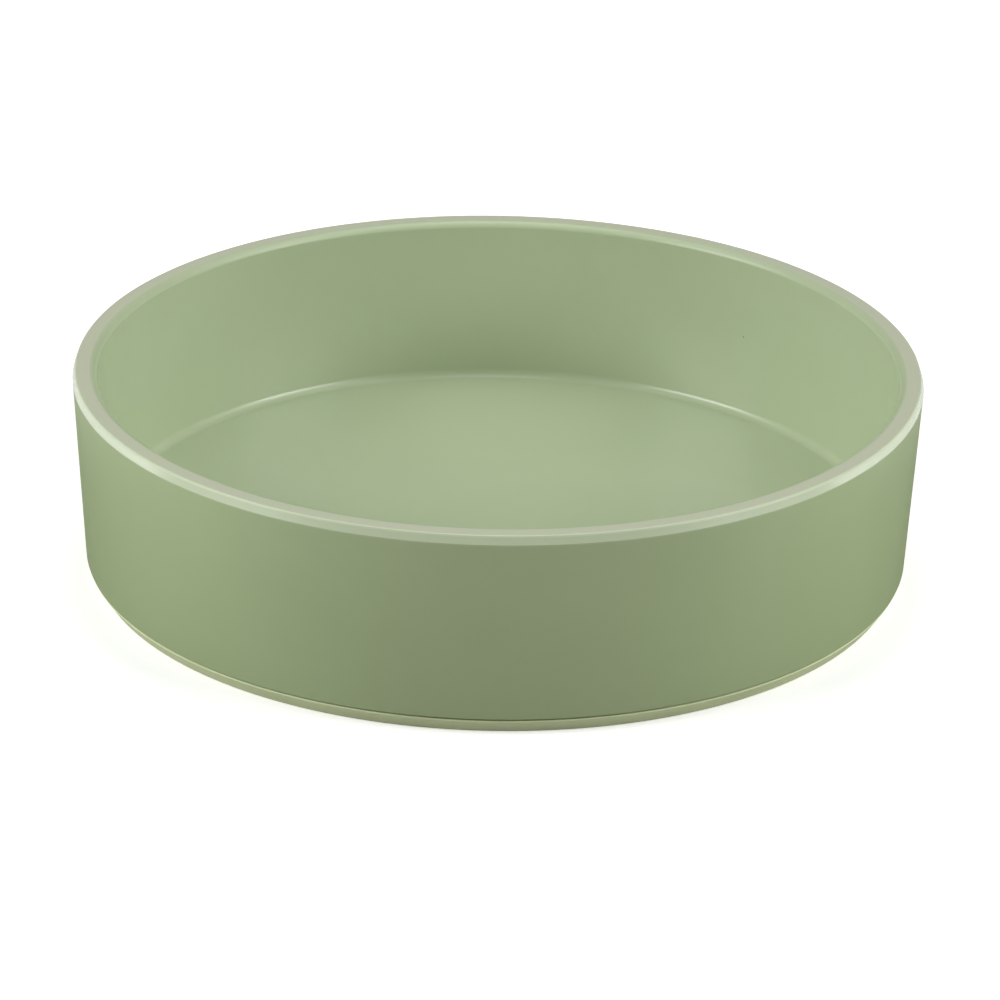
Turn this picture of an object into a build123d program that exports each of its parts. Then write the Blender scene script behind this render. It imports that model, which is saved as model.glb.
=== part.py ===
from build123d import *
from math import radians, tan
import os

# Round, shallow mixing bowl with a slightly tapered wall, a bevelled rim and a
# non-slip foot ring of silicone that presses into a groove in the underside.
# Millimetres and degrees. +Z is up; the origin is the centre of the foot, on the table.

# ---- Bowl: driving sizes ----
rim_diameter = 240.0  # across the outside, where the rim bevel meets the wall
bowl_height = 60.0  # table to the top of the rim
wall_draft = 3.6  # lean of both wall faces, so that the moulding leaves its tool
wall_thickness = 6.8  # measured level, the same from the rim to the floor
floor_thickness = 4.2
floor_fillet = 2.5  # inside corner between floor and wall

# ---- Rim ----
bevel_height = 2.5  # steep outer bevel below the flat top
bevel_width = 0.8
rim_inner_round = 2.1
rim_outer_round = 0.5
bevel_foot_round = 0.2

# ---- Foot of the bowl and the groove that holds the foot ring ----
foot_height = 4.8  # table to the lower edge of the wall
foot_rib_height = 2.5  # underside of the floor to the lower edge of the wall
skirt_width = 4.7  # wall below the floor, outside the groove
groove_width = 3.0
foot_rib_width = 3.5  # rib on the inner side of the groove
skirt_edge_round = 0.25

# ---- Foot ring ----
foot_band_inset = 3.0  # how far the ring's outer face slopes in, top to bottom
ring_setback = 0.15  # the ring's upper edge stands inside the wall by this much
ring_inner_overhang = 2.5  # the ring reaches inwards past the bowl's rib
shadow_gap = 0.5  # open line between the wall and the ring
shadow_gap_depth = 2.0
ring_edge_round = 0.3
sole_edge_round = 0.5
tongue_side_clearance = 0.05
tongue_end_clearance = 0.2
bead_radius = 0.4  # bead on the tongue that snaps into the groove's flank
bead_clearance = 0.05
tread_groove_count = 2
tread_groove_width = 1.2
tread_groove_depth = 0.5
tread_land_width = 2.2  # sole between neighbouring tread grooves

# ---- Worked out ----
rim_radius = rim_diameter / 2
bevel_foot_z = bowl_height - bevel_height
underside_z = foot_height + foot_rib_height
floor_z = underside_z + floor_thickness
lean = tan(radians(wall_draft))


def outer_radius(z):
    """Outside of the wall at height z."""
    return rim_radius - (bevel_foot_z - z) * lean


def inner_radius(z):
    """Inside of the wall at height z."""
    return outer_radius(z) - wall_thickness


skirt_outer = outer_radius(foot_height)
groove_outer = skirt_outer - skirt_width
groove_inner = groove_outer - groove_width
rib_inner = groove_inner - foot_rib_width

tongue_outer = groove_outer - tongue_side_clearance
tongue_inner = groove_inner + tongue_side_clearance
tongue_top = underside_z - tongue_end_clearance
bead_z = foot_height + foot_rib_height / 2

ring_outer_top = skirt_outer - ring_setback
ring_outer_bottom = ring_outer_top - foot_band_inset
ring_inner = rib_inner - ring_inner_overhang
band_top_z = foot_height - shadow_gap
gap_end = skirt_outer - shadow_gap_depth
sole_middle = (ring_inner + ring_outer_bottom) / 2


def corners(*places):
    """The corners of the sketch being drawn that lie nearest to these (radius, height) places."""
    return [vertices().sort_by_distance(Vector(r, z))[0] for r, z in places]


# ---- Bowl body ----
with BuildPart() as bowl_body:
    with BuildSketch(Plane.XZ):
        with BuildLine():
            Polyline(
                (0, floor_z),
                (inner_radius(floor_z), floor_z),
                (inner_radius(bowl_height), bowl_height),
                (rim_radius - bevel_width, bowl_height),
                (rim_radius, bevel_foot_z),
                (skirt_outer, foot_height),
                (rib_inner, foot_height),
                (rib_inner, underside_z),
                (0, underside_z),
                close=True,
            )
        make_face()
        fillet(corners((inner_radius(floor_z), floor_z)), floor_fillet)
        fillet(corners((inner_radius(bowl_height), bowl_height)), rim_inner_round)
        fillet(corners((rim_radius - bevel_width, bowl_height)), rim_outer_round)
        fillet(corners((rim_radius, bevel_foot_z)), bevel_foot_round)
        fillet(corners((skirt_outer, foot_height)), skirt_edge_round)
        with Locations(((groove_inner + groove_outer) / 2, foot_height)):
            Rectangle(
                groove_width,
                foot_rib_height,
                align=(Align.CENTER, Align.MIN),
                mode=Mode.SUBTRACT,
            )
        with Locations((tongue_outer, bead_z)):
            Circle(bead_radius + bead_clearance, mode=Mode.SUBTRACT)
    revolve(axis=Axis.Z)

# ---- Foot ring ----
with BuildPart() as foot_ring:
    with BuildSketch(Plane.XZ):
        with BuildLine():
            Polyline(
                (ring_inner, 0),
                (ring_outer_bottom, 0),
                (ring_outer_top, band_top_z),
                (gap_end, band_top_z),
                (gap_end, foot_height),
                (tongue_outer, foot_height),
                (tongue_outer, tongue_top),
                (tongue_inner, tongue_top),
                (tongue_inner, foot_height),
                (ring_inner, foot_height),
                close=True,
            )
        make_face()
        fillet(corners((ring_outer_top, band_top_z)), ring_edge_round)
        fillet(corners((ring_outer_bottom, 0), (ring_inner, 0)), sole_edge_round)
        fillet(corners((ring_inner, foot_height)), ring_edge_round)
        with Locations((tongue_outer, bead_z)):
            Circle(bead_radius)
        with Locations((sole_middle, 0)):
            with GridLocations(
                tread_groove_width + tread_land_width, 1, tread_groove_count, 1
            ):
                Rectangle(
                    tread_groove_width,
                    tread_groove_depth,
                    align=(Align.CENTER, Align.MIN),
                    mode=Mode.SUBTRACT,
                )
    revolve(axis=Axis.Z)

# ---- Written out, one STEP for each piece ----
os.makedirs("parts", exist_ok=True)
pieces = {"bowl_body": bowl_body, "foot_ring": foot_ring}
for name, piece in pieces.items():
    piece.part.label = name
    export_step(piece.part, f"parts/{name}.step")
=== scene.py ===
from math import acos, ceil, cos, pi, radians, sin, tan

import bmesh
import bpy
from bpy.props import FloatProperty, FloatVectorProperty, PointerProperty
from mathutils import Matrix, Vector


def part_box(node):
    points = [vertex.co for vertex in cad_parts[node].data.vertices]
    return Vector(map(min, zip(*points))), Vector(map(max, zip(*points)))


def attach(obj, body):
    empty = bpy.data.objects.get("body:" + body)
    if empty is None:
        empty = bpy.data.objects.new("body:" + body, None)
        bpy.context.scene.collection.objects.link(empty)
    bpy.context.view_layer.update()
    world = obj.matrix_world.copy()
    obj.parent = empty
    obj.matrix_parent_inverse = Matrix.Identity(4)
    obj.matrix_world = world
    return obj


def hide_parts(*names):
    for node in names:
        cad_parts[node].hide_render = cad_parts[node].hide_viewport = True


bl_info = {
    "name": "Mixing Bowl",
    "version": (1, 0, 0),
    "blender": (4, 5, 0),
    "location": "View3D > Sidebar > Mixing Bowl",
    "description": "Turns the moulded bowl and its foot ring, and sets the studio round them",
    "category": "Add Mesh",
}

# ---- The fixed frame: the bowl's main sizes are read from it ----
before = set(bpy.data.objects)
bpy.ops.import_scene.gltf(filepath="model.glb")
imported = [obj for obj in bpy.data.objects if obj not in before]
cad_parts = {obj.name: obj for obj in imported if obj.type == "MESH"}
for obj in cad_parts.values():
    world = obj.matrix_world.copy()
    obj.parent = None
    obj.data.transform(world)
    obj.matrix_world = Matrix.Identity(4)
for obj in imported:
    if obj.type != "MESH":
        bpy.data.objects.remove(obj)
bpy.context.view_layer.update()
BODY_LOW, BODY_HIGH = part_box("bowl_body")
TONGUE_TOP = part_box("foot_ring")[1].z
BOWL_RADIUS = (BODY_HIGH.x - BODY_LOW.x) / 2

MM = 0.001
ARC_STEP = radians(9)  # each round is cut into stretches that turn by no more than this
SPIN_STEPS = 288  # stretches in one turn about the axis
SHARP_ANGLE = radians(25)  # an edge that turns by more than this stays crisp


# ---- What a user can change ----
def length(name, description, default):
    """A size in metres, shown in the scene's units."""
    return FloatProperty(
        name=name, description=description, default=default, min=0.0, unit="LENGTH", precision=5
    )


def angle(name, description, default):
    """An angle in radians, shown in degrees."""
    return FloatProperty(
        name=name, description=description, default=default, subtype="ANGLE", unit="ROTATION"
    )


def colour(name, description, default):
    """A linear colour."""
    return FloatVectorProperty(
        name=name, description=description, default=default, min=0.0, max=1.0, size=3, subtype="COLOR"
    )


def factor(name, description, default):
    """A share between none and all."""
    return FloatProperty(
        name=name, description=description, default=default, min=0.0, max=1.0, subtype="FACTOR"
    )


def power(name, description, default):
    """The power of a light in watts."""
    return FloatProperty(name=name, description=description, default=default, min=0.0, unit="POWER")


class BowlSizes(bpy.types.PropertyGroup):
    """Sizes of the moulded bowl"""

    rim_radius: length("Rim radius", "Outside of the rim, at the foot of its bevel", BOWL_RADIUS)
    height: length("Height", "From the table to the top of the rim", BODY_HIGH.z)
    foot_height: length("Foot height", "From the table to the lower edge of the wall", BODY_LOW.z)
    draft: angle("Draft", "Lean of both wall faces", radians(3.6))
    wall: length("Wall", "Thickness of the wall, measured level", 6.8 * MM)
    floor: length("Floor", "Thickness of the floor", 4.2 * MM)
    floor_round: length("Floor round", "Inside corner between floor and wall", 2.5 * MM)
    bevel_height: length("Bevel height", "Height of the bevel outside the rim", 2.5 * MM)
    bevel_width: length("Bevel width", "How far the bevel steps in", 0.8 * MM)
    rim_inner_round: length("Inner rim round", "Round where the rim meets the inside", 2.1 * MM)
    rim_outer_round: length("Outer rim round", "Round where the rim meets its bevel", 0.5 * MM)
    bevel_foot_round: length("Bevel foot round", "Round where the bevel meets the wall", 0.2 * MM)
    skirt: length("Skirt", "Wall below the floor, outside the groove", 4.7 * MM)
    skirt_round: length("Skirt round", "Lower outside edge of the wall", 0.25 * MM)
    groove: length("Groove", "Width of the groove that holds the foot ring", 3.0 * MM)
    rib: length("Rib", "Width of the rib inside the groove", 3.5 * MM)
    rib_height: length("Rib height", "Depth of the groove and height of the rib", 2.5 * MM)


class RingSizes(bpy.types.PropertyGroup):
    """Sizes of the foot ring"""

    inset: length("Inset", "How far the outer face slopes in, top to bottom", 3.0 * MM)
    setback: length("Setback", "How far the upper edge stands inside the wall", 0.15 * MM)
    overhang: length("Overhang", "How far the ring reaches inwards past the rib", 2.5 * MM)
    gap: length("Shadow gap", "Open line between the wall and the ring", 0.5 * MM)
    gap_depth: length("Gap depth", "Depth of the open line", 2.0 * MM)
    edge_round: length("Edge round", "Upper edges of the ring", 0.3 * MM)
    sole_round: length("Sole round", "Lower edges of the ring", 0.5 * MM)
    play: length("Play", "Clearance at each side of the tongue", 0.05 * MM)
    tread_groove: length("Tread groove", "Width of each groove in the sole", 1.2 * MM)
    tread_depth: length("Tread depth", "Depth of each groove in the sole", 0.5 * MM)
    tread_land: length("Tread land", "Sole between the two tread grooves", 2.2 * MM)


class BowlFinish(bpy.types.PropertyGroup):
    """Colours and surface of both pieces"""

    sage: colour("Sage", "Colour of the bowl's outside", (0.356, 0.438, 0.236))
    # Painted light: the inside colour is paler than the sage to stand in for the brighter light that falls
    # inside the bowl.
    inside: colour("Inside", "Colour of the bowl's inside, a little paler", (0.457, 0.538, 0.347))
    # Painted highlight: the rim colour's pale beige stands in for the overhead light that the flat top of
    # the rim reflects.
    rim: colour("Rim", "Colour of the flat top of the rim, where it was ground level", (0.52, 0.55, 0.41))
    # Painted highlight: the bevel colour is paler than the sage to paint the bevel's bright sheen; its coat
    # and low roughness are real gloss.
    bevel: colour("Bevel", "Colour of the trimmed and polished bevel", (0.55, 0.63, 0.43))
    # Partly painted light: the foot ring's own green, made paler to paint the floor's bounce light on its
    # downward-facing band.
    silicone: colour("Silicone", "Colour of the foot ring", (0.70, 0.77, 0.47))
    speck: colour("Speck", "Colour of the few dark specks in the moulding", (0.27, 0.34, 0.17))
    satin: factor("Satin", "Roughness of the outside and the rim", 0.38)
    inside_satin: factor("Inside satin", "Roughness of the inside", 0.24)
    satin_spread: factor("Satin spread", "How far the clouding moves the bowl's roughness", 0.06)
    polish: factor("Polish", "Roughness of the bevel", 0.26)
    # Painted highlight: how far the foot of the bevel takes the paler bevel colour.
    foot_highlight: factor("Rub", "How far the rubbed foot of the bevel takes the bevel's colour", 0.5)
    matte: factor("Matte", "Least roughness of the foot ring", 0.6)
    matte_spread: factor("Matte spread", "How far the clouding raises the foot ring's roughness", 0.15)
    # Painted highlight: how much of the pale rim colour the ring's upper edge takes.
    ring_edge_highlight: factor("Dust", "How much the foot ring's upper edge is dusted", 0.2)


class StudioSettings(bpy.types.PropertyGroup):
    """Camera, lights and floor"""

    distance: length("Camera distance", "From the point that the camera looks at", 1.7103)
    aim_side: length("Aim, sideways", "How far to the right of the axis the camera looks", 1.1 * MM)
    aim_height: length("Aim, height", "How far above the table the camera looks", 18.5 * MM)
    elevation: angle("Camera elevation", "How far the camera looks down", radians(23.46))
    roll: angle("Camera roll", "Turn about the line of sight", radians(1.005))
    lens: FloatProperty(name="Lens", description="Focal length in millimetres", default=216.0, min=1.0)
    top: power("Top", "The small light overhead, which draws the line round the bowl's floor", 5.0)
    left: power("Left", "The softbox in front, on the left", 14.5)
    right: power("Right", "The softbox in front, on the right", 12.0)
    left_high: power("Left high", "The raised softbox on the left", 5.0)
    right_high: power("Right high", "The raised softbox on the right", 7.2)
    strips: power("Strips", "Each of the two low, narrow softboxes that edge the rim", 1.0)
    surround: factor("Surround", "Strength of the even light all round", 0.09)
    floor: colour("Studio floor", "Colour of the surface under the bowl", (0.9, 0.9, 0.9))
    glow: colour("Floor glow", "Light that the floor adds for the camera alone", (0.4, 0.4, 0.4))
    bounce: colour("Bounce", "How pale the floor is where it lights the bowl", (0.55, 0.55, 0.55))
    near: colour("Near floor", "How pale the floor beside the bowl is in its gloss", (0.06, 0.06, 0.06))
    near_end: length("Near floor's end", "Distance from the axis where it starts to fade", 0.17)
    far_start: length("Far floor's start", "Distance from the axis where the near floor has gone", 0.24)
    floor_half: length("Floor half width", "From the middle of the floor to its edges", 6.0)


# ---- Turned shapes ----
def corner_arc(before, corner, after, size):
    """Points of the round that replaces a corner, as (radius, height) pairs."""
    at = Vector(corner)
    arriving = (at - Vector(before)).normalized()
    leaving = (Vector(after) - at).normalized()
    turn = acos(max(-1.0, min(1.0, arriving.dot(leaving))))
    reach = size * tan(turn / 2)
    start = at - arriving * reach
    side = Vector((-arriving.y, arriving.x))
    if side.dot(leaving) < 0:
        side = -side
    centre = start + side * size
    cuts = max(3, ceil(turn / ARC_STEP))
    return [
        tuple(centre - side * size * cos(turn * i / cuts) + arriving * size * sin(turn * i / cuts))
        for i in range(cuts + 1)
    ]


def rounded(corners, closed):
    """The outline through (radius, height, round) corners, with its rounds as short stretches."""
    outline = []
    last = len(corners) - 1
    for i, (r, z, size) in enumerate(corners):
        if size and (closed or 0 < i < last):
            outline += corner_arc(corners[i - 1][:2], (r, z), corners[(i + 1) % len(corners)][:2], size)
        else:
            outline.append((r, z))
    return outline


def turned(name, corners, closed=False):
    """A new object: an outline in the XZ plane turned once about the Z axis."""
    bm = bmesh.new()
    verts = [bm.verts.new((r, 0, z)) for r, z in rounded(corners, closed)]
    edges = [bm.edges.new(pair) for pair in zip(verts, verts[1:])]
    if closed:
        edges.append(bm.edges.new((verts[-1], verts[0])))
    bmesh.ops.spin(
        bm,
        geom=verts + edges,
        cent=(0, 0, 0),
        axis=(0, 0, 1),
        angle=2 * pi,
        steps=SPIN_STEPS,
        use_merge=True,
    )
    bmesh.ops.remove_doubles(bm, verts=bm.verts, dist=1e-7)
    bmesh.ops.recalc_face_normals(bm, faces=bm.faces)
    for face in bm.faces:
        face.smooth = True
    for edge in bm.edges:
        edge.smooth = edge.calc_face_angle(0.0) < SHARP_ANGLE
    mesh = bpy.data.meshes.new(name)
    bm.to_mesh(mesh)
    bm.free()
    piece = bpy.data.objects.new(name, mesh)
    bpy.context.scene.collection.objects.link(piece)
    flatten = piece.modifiers.new("Flat faces stay flat", "WEIGHTED_NORMAL")
    flatten.keep_sharp = True
    return piece


class BowlLines:
    """Radii and heights that the bowl and its foot ring share, worked out from the bowl's sizes."""

    def __init__(self, sizes):
        self.sizes = sizes
        self.bevel_foot = sizes.height - sizes.bevel_height
        self.underside = sizes.foot_height + sizes.rib_height
        self.floor = self.underside + sizes.floor
        self.skirt_outer = self.outer(sizes.foot_height)
        self.groove_outer = self.skirt_outer - sizes.skirt
        self.groove_inner = self.groove_outer - sizes.groove
        self.rib_inner = self.groove_inner - sizes.rib

    def outer(self, z):
        """Outside of the wall at a height."""
        return self.sizes.rim_radius - (self.bevel_foot - z) * tan(self.sizes.draft)

    def inner(self, z):
        """Inside of the wall at a height."""
        return self.outer(z) - self.sizes.wall


def bowl_corners(sizes):
    """Half section of the bowl: middle of the floor, over the rim, to the middle of the underside."""
    at = BowlLines(sizes)
    return [
        (0, at.floor, 0),
        (at.inner(at.floor), at.floor, sizes.floor_round),
        (at.inner(sizes.height), sizes.height, sizes.rim_inner_round),
        (sizes.rim_radius - sizes.bevel_width, sizes.height, sizes.rim_outer_round),
        (sizes.rim_radius, at.bevel_foot, sizes.bevel_foot_round),
        (at.skirt_outer, sizes.foot_height, sizes.skirt_round),
        (at.groove_outer, sizes.foot_height, 0),
        (at.groove_outer, at.underside, 0),
        (at.groove_inner, at.underside, 0),
        (at.groove_inner, sizes.foot_height, 0),
        (at.rib_inner, sizes.foot_height, 0),
        (at.rib_inner, at.underside, 0),
        (0, at.underside, 0),
    ]


def ring_corners(sizes, ring):
    """Section of the foot ring, once round, starting at the inner edge of the sole."""
    at = BowlLines(sizes)
    inner = at.rib_inner - ring.overhang
    outer_top = at.skirt_outer - ring.setback
    outer_sole = outer_top - ring.inset
    band_top = sizes.foot_height - ring.gap
    gap_end = at.skirt_outer - ring.gap_depth
    tongue_outer = at.groove_outer - ring.play
    tongue_inner = at.groove_inner + ring.play
    middle = (inner + outer_sole) / 2
    tread = []
    for side in (-1, 1):
        groove = middle + side * (ring.tread_groove + ring.tread_land) / 2
        low, high = groove - ring.tread_groove / 2, groove + ring.tread_groove / 2
        tread += [(low, 0, 0), (low, ring.tread_depth, 0), (high, ring.tread_depth, 0), (high, 0, 0)]
    return [
        (inner, 0, ring.sole_round),
        *tread,
        (outer_sole, 0, ring.sole_round),
        (outer_top, band_top, ring.edge_round),
        (gap_end, band_top, 0),
        (gap_end, sizes.foot_height, 0),
        (tongue_outer, sizes.foot_height, 0),
        (tongue_outer, TONGUE_TOP, 0),
        (tongue_inner, TONGUE_TOP, 0),
        (tongue_inner, sizes.foot_height, 0),
        (inner, sizes.foot_height, ring.edge_round),
    ]


# ---- Effects that both finishes use ----
class Wiring:
    """Adds nodes to a tree and joins them."""

    def __init__(self, tree):
        self.tree = tree

    def add(self, kind, values=None, **settings):
        """A new node with its settings, and its inputs set to values or joined to other sockets."""
        node = self.tree.nodes.new(kind)
        for key, value in settings.items():
            setattr(node, key, value)
        for key, value in (values or {}).items():
            self.put(node.inputs[key], value)
        return node

    def put(self, socket, value):
        """Join an output to this input, or set the input's own value."""
        if isinstance(value, bpy.types.NodeSocket):
            self.tree.links.new(value, socket)
        else:
            socket.default_value = value

    def maths(self, operation, first, second=0.0, third=0.0):
        """One sum on one to three values."""
        node = self.add("ShaderNodeMath", operation=operation)
        for socket, value in zip(node.inputs, (first, second, third)):
            self.put(socket, value)
        return node.outputs[0]

    def blend(self, share, first, second, kind="MIX"):
        """One colour laid over another."""
        node = self.add("ShaderNodeMix", data_type="RGBA", blend_type=kind)
        self.put(node.inputs[0], share)
        self.put(node.inputs[6], first)
        self.put(node.inputs[7], second)
        return node.outputs[2]

    def mix(self, share, first, second):
        """A number between two others."""
        node = self.add("ShaderNodeMix", data_type="FLOAT")
        self.put(node.inputs[0], share)
        self.put(node.inputs[2], first)
        self.put(node.inputs[3], second)
        return node.outputs[0]

    def ramp(self, value, low, high, start=0.0, end=1.0):
        """A smooth step from start to end, as value goes from low to high."""
        node = self.add("ShaderNodeMapRange", interpolation_type="SMOOTHSTEP")
        for key, number in zip(
            ("Value", "From Min", "From Max", "To Min", "To Max"), (value, low, high, start, end)
        ):
            self.put(node.inputs[key], number)
        return node.outputs[0]

    def both(self, first, second):
        """Where two masks overlap."""
        return self.maths("MULTIPLY", first, second)

    def distance(self, across, up):
        """The straight line between two points, from how far apart they are in two directions."""
        square = self.maths("MULTIPLY_ADD", across, across, self.maths("MULTIPLY", up, up))
        return self.maths("SQRT", square)

    def from_axis(self, place):
        """How far a point is from the Z axis, and its height."""
        axes = self.add("ShaderNodeSeparateXYZ", {"Vector": place}).outputs
        return self.distance(axes["X"], axes["Y"]), axes["Z"]

    def effect(self, name, make, values):
        """The outputs of an effect with its own values. The effect's group is made at its first use."""
        tree = bpy.data.node_groups.get(name) or make()
        return self.add("ShaderNodeGroup", values, node_tree=tree).outputs


def new_group(name, inputs, outputs):
    """An empty shader group with its sockets, and the wiring to fill it."""
    tree = bpy.data.node_groups.new(name, "ShaderNodeTree")
    for title, (kind, default) in inputs.items():
        socket = tree.interface.new_socket(title, in_out="INPUT", socket_type=kind)
        socket.default_value = default
    for title, kind in outputs.items():
        tree.interface.new_socket(title, in_out="OUTPUT", socket_type=kind)
    wiring = Wiring(tree)
    return tree, wiring, wiring.add("NodeGroupInput").outputs, wiring.add("NodeGroupOutput").inputs


BLACK = (0.0, 0.0, 0.0, 1.0)
NUMBER = "NodeSocketFloat"
COLOUR = "NodeSocketColor"
VECTOR = "NodeSocketVector"


def clouding_group():
    """Soft, wide differences in the pigment, with a few dark specks, as in a moulded piece."""
    tree, wiring, given, result = new_group(
        "Clouding and specks",
        {
            "Position": (VECTOR, (0, 0, 0)),
            "Colour": (COLOUR, (1, 1, 1, 1)),
            "Speck Colour": (COLOUR, (0, 0, 0, 1)),
            "Cloud Size": (NUMBER, 0.03),
            "Cloud Amount": (NUMBER, 0.1),
            "Speck Size": (NUMBER, 0.0003),
            "Speck Spacing": (NUMBER, 0.01),
            "Speck Share": (NUMBER, 0.1),
        },
        {"Colour": COLOUR, "Cloud": NUMBER},
    )
    per_size = wiring.maths("DIVIDE", 1.0, given["Cloud Size"])
    cloud = wiring.add(
        "ShaderNodeTexNoise",
        {
            "Vector": given["Position"],
            "Scale": per_size,
            "Detail": 3.0,
            "Roughness": 0.45,
            "Distortion": 0.6,
        },
    ).outputs["Fac"]
    centred = wiring.maths("SUBTRACT", cloud, 0.5)
    shade = wiring.maths("MULTIPLY_ADD", centred, given["Cloud Amount"], 1.0)
    grey = wiring.add("ShaderNodeCombineColor", {"Red": shade, "Green": shade, "Blue": shade}).outputs[0]
    clouded = wiring.blend(1.0, given["Colour"], grey, "MULTIPLY")
    per_spacing = wiring.maths("DIVIDE", 1.0, given["Speck Spacing"])
    cells = wiring.add(
        "ShaderNodeTexVoronoi", {"Vector": given["Position"], "Scale": per_spacing, "Randomness": 1.0}
    ).outputs
    reach = wiring.maths("MULTIPLY", given["Speck Size"], per_spacing)
    near = wiring.ramp(cells["Distance"], wiring.maths("MULTIPLY", reach, 0.5), reach, 1.0, 0.0)
    draw = wiring.add("ShaderNodeSeparateColor", {"Color": cells["Color"]}).outputs[0]
    chosen = wiring.maths("LESS_THAN", draw, given["Speck Share"])
    speck = wiring.both(near, chosen)
    wiring.put(result["Colour"], wiring.blend(speck, clouded, given["Speck Colour"]))
    wiring.put(result["Cloud"], cloud)
    return tree


def peel_group():
    """The slight orange peel of a moulded face, over a finer grain: a height from 0 to 1."""
    tree, wiring, given, result = new_group(
        "Orange peel",
        {
            "Position": (VECTOR, (0, 0, 0)),
            "Peel Size": (NUMBER, 0.002),
            "Grain Size": (NUMBER, 0.0003),
            "Grain Share": (NUMBER, 0.3),
        },
        {"Height": NUMBER},
    )
    heights = []
    for size in ("Peel Size", "Grain Size"):
        per_size = wiring.maths("DIVIDE", 1.0, given[size])
        values = {"Vector": given["Position"], "Scale": per_size, "Detail": 1.0}
        heights.append(wiring.add("ShaderNodeTexNoise", values).outputs["Fac"])
    wiring.put(result["Height"], wiring.mix(given["Grain Share"], *heights))
    return tree


def edge_group():
    """How near a point lies to an edge round the Z axis, broken up by noise, as a mask for a painted edge
    highlight: 1 on it, 0 away.
    """
    tree, wiring, given, result = new_group(
        "Painted edge highlight",
        {
            "Position": (VECTOR, (0, 0, 0)),
            "Edge Radius": (NUMBER, 0.1),
            "Edge Height": (NUMBER, 0.0),
            "Width": (NUMBER, 0.0005),
            "Break Size": (NUMBER, 0.00625),
            "Breaks": (NUMBER, 0.5),
        },
        {"Mask": NUMBER},
    )
    radius, height = wiring.from_axis(given["Position"])
    across = wiring.maths("SUBTRACT", radius, given["Edge Radius"])
    up = wiring.maths("SUBTRACT", height, given["Edge Height"])
    near = wiring.ramp(wiring.distance(across, up), 0.0, given["Width"], 1.0, 0.0)
    per_size = wiring.maths("DIVIDE", 1.0, given["Break Size"])
    breakup = wiring.add("ShaderNodeTexNoise", {"Vector": given["Position"], "Scale": per_size, "Detail": 4.0})
    kept = wiring.ramp(breakup.outputs["Fac"], 0.35, 0.65)
    whole = wiring.maths("SUBTRACT", 1.0, given["Breaks"])
    share = wiring.maths("MULTIPLY_ADD", kept, given["Breaks"], whole)
    wiring.put(result["Mask"], wiring.both(near, share))
    return tree


def new_finish(name):
    """An empty material: its wiring, its Principled shader and the place of each point of the surface."""
    material = bpy.data.materials.new(name)
    material.use_nodes = True
    wiring = Wiring(material.node_tree)
    shader = material.node_tree.nodes["Principled BSDF"]
    place = wiring.add("ShaderNodeTexCoord").outputs["Object"]
    return material, wiring, shader, place


def opaque(rgb):
    """A colour with full alpha."""
    return (*rgb, 1.0)


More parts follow.
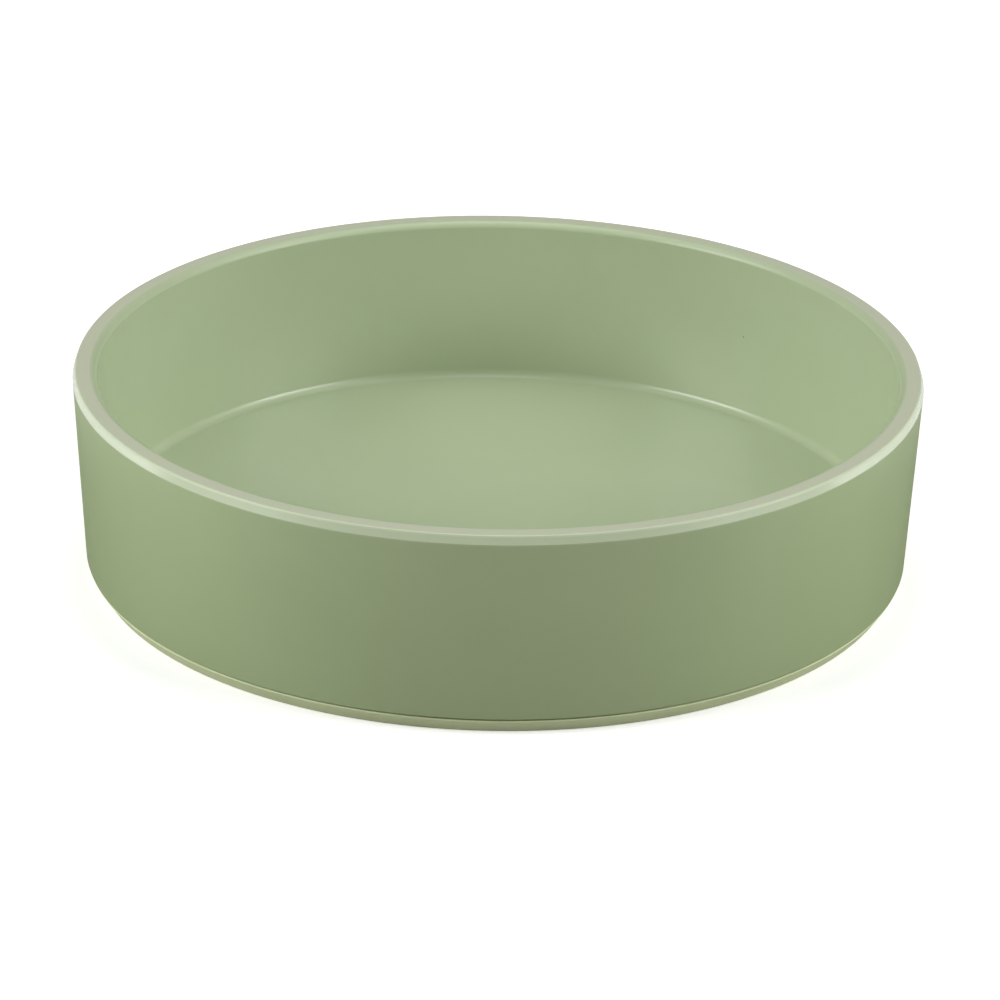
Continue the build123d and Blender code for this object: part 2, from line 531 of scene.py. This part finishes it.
def satin_melamine(sizes, finish):
    """The bowl: sage moulding compound, satin all over and polished where the rim was trimmed."""
    material, wiring, shader, place = new_finish("Satin sage melamine")
    at = BowlLines(sizes)
    radius, height = wiring.from_axis(place)

    # Where each finish lies, as masks: 1 there and 0 elsewhere
    middle_of_wall = wiring.maths("MULTIPLY_ADD", height, tan(sizes.draft), at.outer(0) - sizes.wall / 2)
    inside = wiring.both(
        wiring.maths("LESS_THAN", radius, middle_of_wall),
        wiring.maths("GREATER_THAN", height, at.floor - sizes.floor / 2),
    )
    lip = sizes.height - sizes.rim_inner_round
    below_lip = wiring.both(inside, wiring.ramp(height, lip, lip + 1.0 * MM, 1.0, 0.0))
    flat_start = at.inner(sizes.height) + sizes.rim_inner_round * tan((pi / 2 - sizes.draft) / 2)
    flat = wiring.both(
        wiring.ramp(radius, flat_start - 0.25 * MM, flat_start + 0.05 * MM),
        wiring.ramp(height, sizes.height - 0.15 * MM, sizes.height - 0.05 * MM),
    )
    above_wall = wiring.ramp(height, at.bevel_foot - 0.1 * MM, at.bevel_foot + 0.1 * MM)
    shoulder = sizes.rim_radius - sizes.bevel_width
    bevel = wiring.both(wiring.ramp(radius, shoulder - 0.3 * MM, shoulder - 0.1 * MM), above_wall)
    polished = wiring.both(wiring.ramp(radius, shoulder + 0.1 * MM, shoulder + 0.25 * MM), above_wall)
    # Painted highlight: a thin line along the foot of the bevel, broken up by noise.
    highlit = wiring.effect(
        "Painted edge highlight",
        edge_group,
        {
            "Position": place,
            "Edge Radius": sizes.rim_radius,
            "Edge Height": at.bevel_foot,
            "Width": 0.6 * MM,
            "Breaks": 0.4,
        },
    )["Mask"]

    # Colour
    # The inside takes the paler inside colour, painted light for the brighter inside.
    clouding = wiring.effect(
        "Clouding and specks",
        clouding_group,
        {
            "Position": place,
            "Colour": wiring.blend(inside, opaque(finish.sage), opaque(finish.inside)),
            "Speck Colour": opaque(finish.speck),
            "Cloud Size": 45 * MM,
            "Cloud Amount": 0.09,
            "Speck Size": 0.4 * MM,
            "Speck Spacing": 12 * MM,
            "Speck Share": 0.12,
        },
    )
    # Painted highlight: the bevel, and the broken line at its foot, take the paler bevel colour.
    pale = wiring.maths("MAXIMUM", bevel, wiring.maths("MULTIPLY", highlit, finish.foot_highlight))
    # Painted highlight: the flat top of the rim takes the pale rim colour.
    with_rim_sheen = wiring.blend(flat, clouding["Colour"], opaque(finish.rim))
    wiring.put(shader.inputs["Base Color"], wiring.blend(pale, with_rim_sheen, opaque(finish.bevel)))

    # Gloss: the clouding varies it a little about each face's own roughness
    face = wiring.mix(below_lip, finish.satin, finish.inside_satin)
    satin = wiring.maths("MULTIPLY_ADD", clouding["Cloud"], 2 * finish.satin_spread, face)
    centred = wiring.maths("SUBTRACT", satin, finish.satin_spread)
    wiring.put(shader.inputs["Roughness"], wiring.mix(polished, centred, finish.polish))
    wiring.put(shader.inputs["Coat Weight"], polished)
    shader.inputs["Coat Roughness"].default_value = 0.2
    shader.inputs["Coat IOR"].default_value = 1.7
    shader.inputs["IOR"].default_value = 1.52

    # Surface
    peel = wiring.effect(
        "Orange peel",
        peel_group,
        {"Position": place, "Peel Size": 1.6 * MM, "Grain Size": 0.3 * MM, "Grain Share": 0.35},
    )["Height"]
    bump = wiring.add("ShaderNodeBump", {"Strength": 0.35, "Distance": 0.02 * MM, "Height": peel})
    wiring.put(shader.inputs["Normal"], bump.outputs["Normal"])
    return material


def matte_silicone(sizes, ring, finish):
    """The foot ring: the same green in a softer, duller silicone, made paler to paint the floor's bounce
    light, with a painted highlight on its upper edge.
    """
    material, wiring, shader, place = new_finish("Matte sage silicone")
    at = BowlLines(sizes)
    clouding = wiring.effect(
        "Clouding and specks",
        clouding_group,
        {
            "Position": place,
            "Colour": opaque(finish.silicone),
            "Speck Colour": opaque(finish.speck),
            "Cloud Size": 20 * MM,
            "Cloud Amount": 0.12,
            "Speck Size": 0.3 * MM,
            "Speck Spacing": 9 * MM,
            "Speck Share": 0.1,
        },
    )
    # Painted highlight: a thin line along the ring's upper edge, broken up by noise.
    highlit = wiring.effect(
        "Painted edge highlight",
        edge_group,
        {
            "Position": place,
            "Edge Radius": at.skirt_outer - ring.setback,
            "Edge Height": sizes.foot_height - ring.gap,
            "Width": 0.7 * MM,
            "Breaks": 0.5,
        },
    )["Mask"]
    # The ring's upper edge takes the pale rim colour as a painted highlight.
    painted_ring_edge = wiring.maths("MULTIPLY", highlit, finish.ring_edge_highlight)
    wiring.put(shader.inputs["Base Color"], wiring.blend(painted_ring_edge, clouding["Colour"], opaque(finish.rim)))
    rough = wiring.maths("MULTIPLY_ADD", clouding["Cloud"], finish.matte_spread, finish.matte)
    wiring.put(shader.inputs["Roughness"], rough)
    shader.inputs["IOR"].default_value = 1.42
    peel = wiring.effect(
        "Orange peel",
        peel_group,
        {"Position": place, "Peel Size": 0.8 * MM, "Grain Size": 0.15 * MM, "Grain Share": 0.6},
    )["Height"]
    bump = wiring.add("ShaderNodeBump", {"Strength": 0.5, "Distance": 0.03 * MM, "Height": peel})
    wiring.put(shader.inputs["Normal"], bump.outputs["Normal"])
    return material


# ---- The studio ----
def studio_floor(settings):
    """A plain pale floor, far wider than the bowl, with painted shade beside it that only the bowl's gloss
    sees.
    """
    half = settings.floor_half
    corners = [(-half, -half, 0), (half, -half, 0), (half, half, 0), (-half, half, 0)]
    mesh = bpy.data.meshes.new("studio_floor")
    mesh.from_pydata(corners, [], [(0, 1, 2, 3)])
    floor = bpy.data.objects.new("studio_floor", mesh)
    bpy.context.scene.collection.objects.link(floor)
    material, wiring, shader, place = new_finish("Pale studio floor")
    radius, height = wiring.from_axis(place)
    # Painted shade: beside the bowl the floor turns dark for glossy rays, standing in for the shade round
    # the bowl's foot.
    away = wiring.ramp(radius, settings.near_end, settings.far_start)
    mirrored = wiring.blend(away, opaque(settings.near), opaque(settings.floor))
    path = wiring.add("ShaderNodeLightPath").outputs
    thrown = wiring.blend(path["Is Glossy Ray"], opaque(settings.bounce), mirrored)
    seen = wiring.blend(path["Is Camera Ray"], thrown, opaque(settings.floor))
    wiring.put(shader.inputs["Base Color"], seen)
    glow = wiring.blend(path["Is Camera Ray"], BLACK, opaque(settings.glow))
    wiring.put(shader.inputs["Emission Color"], glow)
    shader.inputs["Emission Strength"].default_value = 1.0
    shader.inputs["Roughness"].default_value = 1.0
    shader.inputs["Specular IOR Level"].default_value = 0.0
    mesh.materials.append(material)


def softbox(name, power, place, size, aim=(0, 0, 0.03)):
    """A rectangular area light that faces the bowl."""
    light = bpy.data.lights.new(name, "AREA")
    light.shape = "RECTANGLE"
    light.size, light.size_y = size
    light.energy = power
    box = bpy.data.objects.new(name, light)
    box.location = place
    box.visible_camera = False
    box.rotation_euler = (Vector(aim) - Vector(place)).to_track_quat("-Z", "Y").to_euler()
    bpy.context.scene.collection.objects.link(box)


def studio_lights(settings):
    """Softboxes over and beside the bowl, and two narrow ones that edge its rim."""
    softbox("top_softbox", settings.top, place=(0, 0.27, 1.8), size=(0.35, 0.25))
    for side, name, low, high in (
        (-1, "left", settings.left, settings.left_high),
        (1, "right", settings.right, settings.right_high),
    ):
        softbox(f"{name}_softbox", low, place=(side * 1.3, -0.5, 0.7), size=(0.8, 0.7))
        softbox(f"{name}_high_softbox", high, place=(side * 1.1, 0, 1.2), size=(0.9, 1.6))
        softbox(f"{name}_strip", settings.strips, place=(side * 1.2, 0.45, 0.13), size=(0.8, 0.24))
    world = bpy.context.scene.world or bpy.data.worlds.new("Studio")
    bpy.context.scene.world = world
    world.use_nodes = True
    backdrop = world.node_tree.nodes["Background"]
    backdrop.inputs["Color"].default_value = (1, 1, 1, 1)
    backdrop.inputs["Strength"].default_value = settings.surround


def studio_camera(settings):
    """A long lens, looking down across the bowl."""
    camera = bpy.data.cameras.new("camera")
    camera.lens = settings.lens
    camera.sensor_width = 36.0
    camera.clip_end = 20.0
    seat = bpy.data.objects.new("camera", camera)
    aim = Vector((settings.aim_side, 0.0, settings.aim_height))
    away = Vector((0, -cos(settings.elevation), sin(settings.elevation)))
    place = Matrix.Translation(aim + away * settings.distance)
    turn = (-away).to_track_quat("-Z", "Y").to_matrix().to_4x4()
    roll = Matrix.Rotation(settings.roll, 4, "Z")
    seat.matrix_world = place @ turn @ roll
    bpy.context.scene.collection.objects.link(seat)
    bpy.context.scene.camera = seat


# ---- Operators ----
class MouldBowlBody(bpy.types.Operator):
    """Turn the moulded bowl and give it its satin finish"""

    bl_idname = "mixing_bowl.mould_body"
    bl_label = "Bowl Body"
    bl_options = {"REGISTER", "UNDO"}

    def execute(self, context):
        scene = context.scene
        bowl = turned("bowl_moulding", bowl_corners(scene.bowl_sizes))
        bowl.data.materials.append(satin_melamine(scene.bowl_sizes, scene.bowl_finish))
        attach(bowl, "root")
        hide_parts("bowl_body")
        return {"FINISHED"}


class MouldFootRing(bpy.types.Operator):
    """Turn the soft foot ring and give it its matte finish"""

    bl_idname = "mixing_bowl.mould_foot_ring"
    bl_label = "Foot Ring"
    bl_options = {"REGISTER", "UNDO"}

    def execute(self, context):
        scene = context.scene
        ring = turned("non_slip_ring", ring_corners(scene.bowl_sizes, scene.ring_sizes), closed=True)
        ring.data.materials.append(matte_silicone(scene.bowl_sizes, scene.ring_sizes, scene.bowl_finish))
        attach(ring, "root")
        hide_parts("foot_ring")
        return {"FINISHED"}


class SetStudio(bpy.types.Operator):
    """Set the pale floor, the soft lights and the camera"""

    bl_idname = "mixing_bowl.set_studio"
    bl_label = "Studio"
    bl_options = {"REGISTER", "UNDO"}

    def execute(self, context):
        settings = context.scene.studio_settings
        studio_floor(settings)
        studio_lights(settings)
        studio_camera(settings)
        context.scene.view_settings.view_transform = "Standard"
        return {"FINISHED"}


class MixingBowlPanel(bpy.types.Panel):
    """Sizes, colours and steps of the mixing bowl"""

    bl_idname = "VIEW3D_PT_mixing_bowl"
    bl_label = "Mixing Bowl"
    bl_space_type = "VIEW_3D"
    bl_region_type = "UI"
    bl_category = "Mixing Bowl"

    def draw(self, context):
        for name, group in SETTINGS:
            box = self.layout.box()
            for key in group.__annotations__:
                box.prop(getattr(context.scene, name), key)
        for step in STEPS:
            self.layout.operator(step.bl_idname)


SETTINGS = (
    ("bowl_sizes", BowlSizes),
    ("ring_sizes", RingSizes),
    ("bowl_finish", BowlFinish),
    ("studio_settings", StudioSettings),
)
STEPS = (MouldBowlBody, MouldFootRing, SetStudio)


def register():
    """Add the settings, the steps and the panel to Blender."""
    for name, group in SETTINGS:
        bpy.utils.register_class(group)
        setattr(bpy.types.Scene, name, PointerProperty(type=group))
    for step in STEPS:
        bpy.utils.register_class(step)
    bpy.utils.register_class(MixingBowlPanel)


def unregister():
    """Take them away again."""
    bpy.utils.unregister_class(MixingBowlPanel)
    for step in reversed(STEPS):
        bpy.utils.unregister_class(step)
    for name, group in reversed(SETTINGS):
        delattr(bpy.types.Scene, name)
        bpy.utils.unregister_class(group)


def main():
    """Register the add-on, and make each piece and the studio."""
    register()
    bpy.ops.mixing_bowl.mould_body()
    bpy.ops.mixing_bowl.mould_foot_ring()
    bpy.ops.mixing_bowl.set_studio()


if __name__ == "__main__":
    main()
